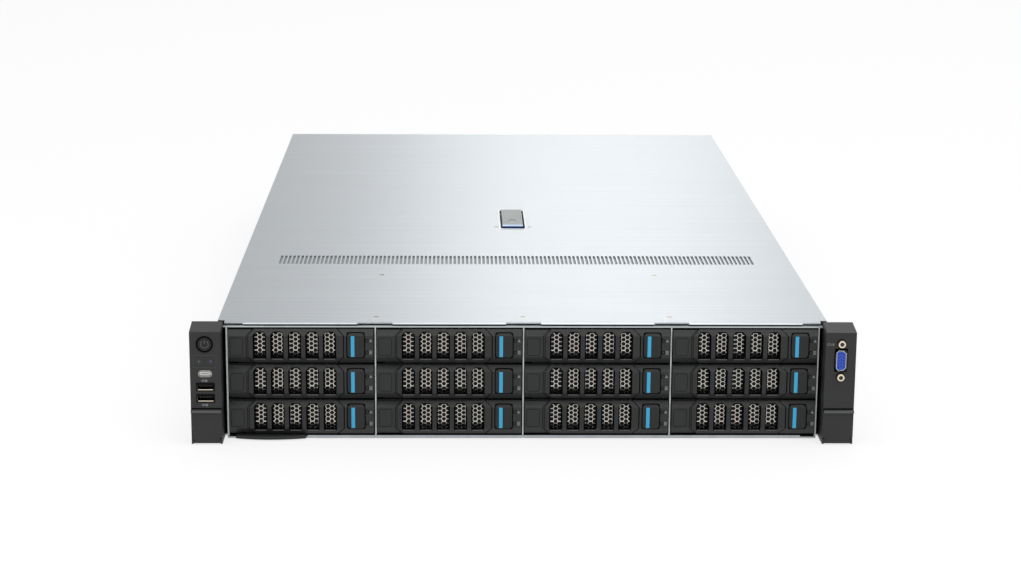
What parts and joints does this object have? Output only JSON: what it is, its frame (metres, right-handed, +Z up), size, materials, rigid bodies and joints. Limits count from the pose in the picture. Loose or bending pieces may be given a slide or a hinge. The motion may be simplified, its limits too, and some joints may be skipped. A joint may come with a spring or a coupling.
{
  "type": "rack server",
  "caption": "Two-unit rack server with sliding drive carriers, hinged carrier handles, lift-off top cover, eared front, fans and plug-in power supplies.",
  "frame": {"origin": "on the underside of the case, midway across, level with the front edge of the top cover", "axes": "+X to the right seen from the front, +Y to the rear, +Z up"},
  "size_m": [0.4826, 0.8397, 0.0884],
  "materials": {
    "zinc_steel": "zinc coated",
    "brushed_cover": "brushed",
    "nickel_steel": "nickel plated",
    "black_plastic": "matt",
    "board_laminate": "satin",
    "fin_aluminium": "extruded",
    "drive_metal": "cast",
    "supply_case": "satin",
    "latch_grey": "satin",
    "release_blue": "satin"
  },
  "bodies": {
    "chassis": {"chassis_tray": "zinc_steel", "drive_cage": "zinc_steel", "fan_frames": "black_plastic", "system_board": "board_laminate", "processor_heatsinks": "fin_aluminium", "memory_banks": "board_laminate", "riser_cages": "zinc_steel", "left_ear": "black_plastic", "right_ear": "black_plastic", "rack_screws": "nickel_steel"},
    "carrier_01": {"carrier_01": "drive_metal"},
    "carrier_handle_01": {"carrier_handle_01": "black_plastic"},
    "carrier_button_01": {"carrier_button_01": "black_plastic"},
    "carrier_02": {"carrier_02": "drive_metal"},
    "carrier_handle_02": {"carrier_handle_02": "black_plastic"},
    "carrier_button_02": {"carrier_button_02": "black_plastic"},
    "carrier_03": {"carrier_03": "drive_metal"},
    "carrier_handle_03": {"carrier_handle_03": "black_plastic"},
    "carrier_button_03": {"carrier_button_03": "black_plastic"},
    "carrier_04": {"carrier_04": "drive_metal"},
    "carrier_handle_04": {"carrier_handle_04": "black_plastic"},
    "carrier_button_04": {"carrier_button_04": "black_plastic"},
    "carrier_05": {"carrier_05": "drive_metal"},
    "carrier_handle_05": {"carrier_handle_05": "black_plastic"},
    "carrier_button_05": {"carrier_button_05": "black_plastic"},
    "carrier_06": {"carrier_06": "drive_metal"},
    "carrier_handle_06": {"carrier_handle_06": "black_plastic"},
    "carrier_button_06": {"carrier_button_06": "black_plastic"},
    "carrier_07": {"carrier_07": "drive_metal"},
    "carrier_handle_07": {"carrier_handle_07": "black_plastic"},
    "carrier_button_07": {"carrier_button_07": "black_plastic"},
    "carrier_08": {"carrier_08": "drive_metal"},
    "carrier_handle_08": {"carrier_handle_08": "black_plastic"},
    "carrier_button_08": {"carrier_button_08": "black_plastic"},
    "carrier_09": {"carrier_09": "drive_metal"},
    "carrier_handle_09": {"carrier_handle_09": "black_plastic"},
    "carrier_button_09": {"carrier_button_09": "black_plastic"},
    "carrier_10": {"carrier_10": "drive_metal"},
    "carrier_handle_10": {"carrier_handle_10": "black_plastic"},
    "carrier_button_10": {"carrier_button_10": "black_plastic"},
    "carrier_11": {"carrier_11": "drive_metal"},
    "carrier_handle_11": {"carrier_handle_11": "black_plastic"},
    "carrier_button_11": {"carrier_button_11": "black_plastic"},
    "carrier_12": {"carrier_12": "drive_metal"},
    "carrier_handle_12": {"carrier_handle_12": "black_plastic"},
    "carrier_button_12": {"carrier_button_12": "black_plastic"},
    "top_cover": {"top_cover": "brushed_cover"},
    "cover_latch": {"cover_latch": "latch_grey"},
    "power_button": {"power_button": "black_plastic"},
    "info_tag": {"info_tag": "black_plastic"},
    "left_ear_flap": {"left_ear_flap": "black_plastic"},
    "right_ear_flap": {"right_ear_flap": "black_plastic"},
    "power_supply_1": {"power_supply_1": "supply_case"},
    "power_supply_2": {"power_supply_2": "supply_case"},
    "supply_latch_1": {"supply_latch_1": "release_blue"},
    "supply_latch_2": {"supply_latch_2": "release_blue"},
    "fan_rotor_1": {"fan_rotor_1": "black_plastic"},
    "fan_rotor_2": {"fan_rotor_2": "black_plastic"},
    "fan_rotor_3": {"fan_rotor_3": "black_plastic"},
    "fan_rotor_4": {"fan_rotor_4": "black_plastic"}
  },
  "joints": [
    {"name": "carrier_01_slide", "type": "slide", "parent": "chassis", "child": "carrier_01", "axis": [0, -1, 0], "range_m": [0, 0.15]},
    {"name": "carrier_handle_01_hinge", "type": "hinge", "parent": "carrier_01", "child": "carrier_handle_01", "pos_m": [-0.2116, -0.0026, 0.07045], "axis": [0, 0, -1], "range_deg": [0, 50]},
    {"name": "carrier_button_01_press", "type": "slide", "parent": "carrier_01", "child": "carrier_button_01", "axis": [0, 1, 0], "range_m": [0, 0.0018], "stiffness_N_per_m": 800},
    {"name": "carrier_02_slide", "type": "slide", "parent": "chassis", "child": "carrier_02", "axis": [0, -1, 0], "range_m": [0, 0.15]},
    {"name": "carrier_handle_02_hinge", "type": "hinge", "parent": "carrier_02", "child": "carrier_handle_02", "pos_m": [-0.1036, -0.0026, 0.07045], "axis": [0, 0, -1], "range_deg": [0, 50]},
    {"name": "carrier_button_02_press", "type": "slide", "parent": "carrier_02", "child": "carrier_button_02", "axis": [0, 1, 0], "range_m": [0, 0.0018], "stiffness_N_per_m": 800},
    {"name": "carrier_03_slide", "type": "slide", "parent": "chassis", "child": "carrier_03", "axis": [0, -1, 0], "range_m": [0, 0.15]},
    {"name": "carrier_handle_03_hinge", "type": "hinge", "parent": "carrier_03", "child": "carrier_handle_03", "pos_m": [0.0044, -0.0026, 0.07045], "axis": [0, 0, -1], "range_deg": [0, 50]},
    {"name": "carrier_button_03_press", "type": "slide", "parent": "carrier_03", "child": "carrier_button_03", "axis": [0, 1, 0], "range_m": [0, 0.0018], "stiffness_N_per_m": 800},
    {"name": "carrier_04_slide", "type": "slide", "parent": "chassis", "child": "carrier_04", "axis": [0, -1, 0], "range_m": [0, 0.15]},
    {"name": "carrier_handle_04_hinge", "type": "hinge", "parent": "carrier_04", "child": "carrier_handle_04", "pos_m": [0.1124, -0.0026, 0.07045], "axis": [0, 0, -1], "range_deg": [0, 50]},
    {"name": "carrier_button_04_press", "type": "slide", "parent": "carrier_04", "child": "carrier_button_04", "axis": [0, 1, 0], "range_m": [0, 0.0018], "stiffness_N_per_m": 800},
    {"name": "carrier_05_slide", "type": "slide", "parent": "chassis", "child": "carrier_05", "axis": [0, -1, 0], "range_m": [0, 0.15]},
    {"name": "carrier_handle_05_hinge", "type": "hinge", "parent": "carrier_05", "child": "carrier_handle_05", "pos_m": [-0.2116, -0.0026, 0.04345], "axis": [0, 0, -1], "range_deg": [0, 50]},
    {"name": "carrier_button_05_press", "type": "slide", "parent": "carrier_05", "child": "carrier_button_05", "axis": [0, 1, 0], "range_m": [0, 0.0018], "stiffness_N_per_m": 800},
    {"name": "carrier_06_slide", "type": "slide", "parent": "chassis", "child": "carrier_06", "axis": [0, -1, 0], "range_m": [0, 0.15]},
    {"name": "carrier_handle_06_hinge", "type": "hinge", "parent": "carrier_06", "child": "carrier_handle_06", "pos_m": [-0.1036, -0.0026, 0.04345], "axis": [0, 0, -1], "range_deg": [0, 50]},
    {"name": "carrier_button_06_press", "type": "slide", "parent": "carrier_06", "child": "carrier_button_06", "axis": [0, 1, 0], "range_m": [0, 0.0018], "stiffness_N_per_m": 800},
    {"name": "carrier_07_slide", "type": "slide", "parent": "chassis", "child": "carrier_07", "axis": [0, -1, 0], "range_m": [0, 0.15]},
    {"name": "carrier_handle_07_hinge", "type": "hinge", "parent": "carrier_07", "child": "carrier_handle_07", "pos_m": [0.0044, -0.0026, 0.04345], "axis": [0, 0, -1], "range_deg": [0, 50]},
    {"name": "carrier_button_07_press", "type": "slide", "parent": "carrier_07", "child": "carrier_button_07", "axis": [0, 1, 0], "range_m": [0, 0.0018], "stiffness_N_per_m": 800},
    {"name": "carrier_08_slide", "type": "slide", "parent": "chassis", "child": "carrier_08", "axis": [0, -1, 0], "range_m": [0, 0.15]},
    {"name": "carrier_handle_08_hinge", "type": "hinge", "parent": "carrier_08", "child": "carrier_handle_08", "pos_m": [0.1124, -0.0026, 0.04345], "axis": [0, 0, -1], "range_deg": [0, 50]},
    {"name": "carrier_button_08_press", "type": "slide", "parent": "carrier_08", "child": "carrier_button_08", "axis": [0, 1, 0], "range_m": [0, 0.0018], "stiffness_N_per_m": 800},
    {"name": "carrier_09_slide", "type": "slide", "parent": "chassis", "child": "carrier_09", "axis": [0, -1, 0], "range_m": [0, 0.15]},
    {"name": "carrier_handle_09_hinge", "type": "hinge", "parent": "carrier_09", "child": "carrier_handle_09", "pos_m": [-0.2116, -0.0026, 0.01645], "axis": [0, 0, -1], "range_deg": [0, 50]},
    {"name": "carrier_button_09_press", "type": "slide", "parent": "carrier_09", "child": "carrier_button_09", "axis": [0, 1, 0], "range_m": [0, 0.0018], "stiffness_N_per_m": 800},
    {"name": "carrier_10_slide", "type": "slide", "parent": "chassis", "child": "carrier_10", "axis": [0, -1, 0], "range_m": [0, 0.15]},
    {"name": "carrier_handle_10_hinge", "type": "hinge", "parent": "carrier_10", "child": "carrier_handle_10", "pos_m": [-0.1036, -0.0026, 0.01645], "axis": [0, 0, -1], "range_deg": [0, 50]},
    {"name": "carrier_button_10_press", "type": "slide", "parent": "carrier_10", "child": "carrier_button_10", "axis": [0, 1, 0], "range_m": [0, 0.0018], "stiffness_N_per_m": 800},
    {"name": "carrier_11_slide", "type": "slide", "parent": "chassis", "child": "carrier_11", "axis": [0, -1, 0], "range_m": [0, 0.15]},
    {"name": "carrier_handle_11_hinge", "type": "hinge", "parent": "carrier_11", "child": "carrier_handle_11", "pos_m": [0.0044, -0.0026, 0.01645], "axis": [0, 0, -1], "range_deg": [0, 50]},
    {"name": "carrier_button_11_press", "type": "slide", "parent": "carrier_11", "child": "carrier_button_11", "axis": [0, 1, 0], "range_m": [0, 0.0018], "stiffness_N_per_m": 800},
    {"name": "carrier_12_slide", "type": "slide", "parent": "chassis", "child": "carrier_12", "axis": [0, -1, 0], "range_m": [0, 0.15]},
    {"name": "carrier_handle_12_hinge", "type": "hinge", "parent": "carrier_12", "child": "carrier_handle_12", "pos_m": [0.1124, -0.0026, 0.01645], "axis": [0, 0, -1], "range_deg": [0, 50]},
    {"name": "carrier_button_12_press", "type": "slide", "parent": "carrier_12", "child": "carrier_button_12", "axis": [0, 1, 0], "range_m": [0, 0.0018], "stiffness_N_per_m": 800},
    {"name": "top_cover_lift", "type": "slide", "parent": "chassis", "child": "top_cover", "axis": [0, 0, 1], "range_m": [0, 0.12]},
    {"name": "cover_latch_hinge", "type": "hinge", "parent": "top_cover", "child": "cover_latch", "pos_m": [0, 0.396, 0.0836], "axis": [-1, 0, 0], "range_deg": [0, 60]},
    {"name": "power_button_press", "type": "slide", "parent": "chassis", "child": "power_button", "axis": [0, 1, 0], "range_m": [0, 0.0015], "stiffness_N_per_m": 900},
    {"name": "info_tag_slide", "type": "slide", "parent": "chassis", "child": "info_tag", "axis": [0, -1, 0], "range_m": [0, 0.055]},
    {"name": "left_ear_flap_hinge", "type": "hinge", "parent": "chassis", "child": "left_ear_flap", "pos_m": [-0.2301, -0.0155, 0.002], "axis": [1, 0, 0], "range_deg": [0, 80]},
    {"name": "right_ear_flap_hinge", "type": "hinge", "parent": "chassis", "child": "right_ear_flap", "pos_m": [0.2301, -0.0155, 0.002], "axis": [1, 0, 0], "range_deg": [0, 80]},
    {"name": "power_supply_1_slide", "type": "slide", "parent": "chassis", "child": "power_supply_1", "axis": [0, 1, 0], "range_m": [0, 0.18]},
    {"name": "supply_latch_1_hinge", "type": "hinge", "parent": "power_supply_1", "child": "supply_latch_1", "pos_m": [-0.15205, 0.802, 0.0215], "axis": [0, 0, 1], "range_deg": [0, 10], "stiffness_Nm_per_rad": 0.5},
    {"name": "power_supply_2_slide", "type": "slide", "parent": "chassis", "child": "power_supply_2", "axis": [0, 1, 0], "range_m": [0, 0.18]},
    {"name": "supply_latch_2_hinge", "type": "hinge", "parent": "power_supply_2", "child": "supply_latch_2", "pos_m": [-0.15205, 0.802, 0.0631], "axis": [0, 0, 1], "range_deg": [0, 10], "stiffness_Nm_per_rad": 0.5},
    {"name": "fan_rotor_1_spin", "type": "hinge", "parent": "chassis", "child": "fan_rotor_1", "pos_m": [-0.159, 0.2485, 0.0415], "axis": [0, 1, 0], "continuous": true},
    {"name": "fan_rotor_2_spin", "type": "hinge", "parent": "chassis", "child": "fan_rotor_2", "pos_m": [-0.053, 0.2485, 0.0415], "axis": [0, 1, 0], "continuous": true},
    {"name": "fan_rotor_3_spin", "type": "hinge", "parent": "chassis", "child": "fan_rotor_3", "pos_m": [0.053, 0.2485, 0.0415], "axis": [0, 1, 0], "continuous": true},
    {"name": "fan_rotor_4_spin", "type": "hinge", "parent": "chassis", "child": "fan_rotor_4", "pos_m": [0.159, 0.2485, 0.0415], "axis": [0, 1, 0], "continuous": true}
  ]
}
